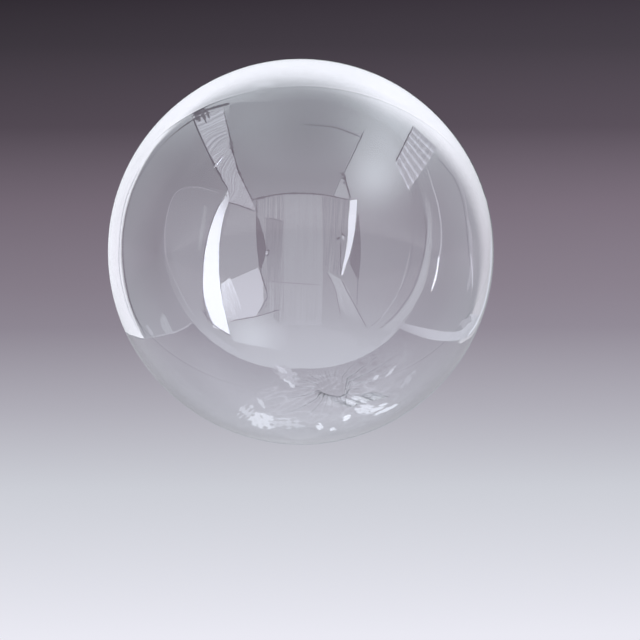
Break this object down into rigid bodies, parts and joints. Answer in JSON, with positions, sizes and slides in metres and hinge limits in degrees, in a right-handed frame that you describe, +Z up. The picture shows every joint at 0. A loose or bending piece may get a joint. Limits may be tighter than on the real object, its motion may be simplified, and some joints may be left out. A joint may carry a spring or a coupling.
{
  "type": "clear bubble balloon",
  "caption": "Round clear film balloon, inflated, lying on a small flat spot, with puckered film round its neck and a flat filling tail on the table behind it.",
  "frame": {"origin": "middle of the flat spot that the balloon rests on", "axes": "+Z up through the middle of the ball; -Y is the front; the neck and its tail lie low behind, towards +Y and +X"},
  "size_m": [0.4496, 0.4495, 0.448],
  "materials": {
    "clear_film": "clear stretch film, very smooth and glossy, with fine gathers round the neck"
  },
  "bodies": {
    "root": {"balloon": "clear_film"}
  },
  "joints": []
}
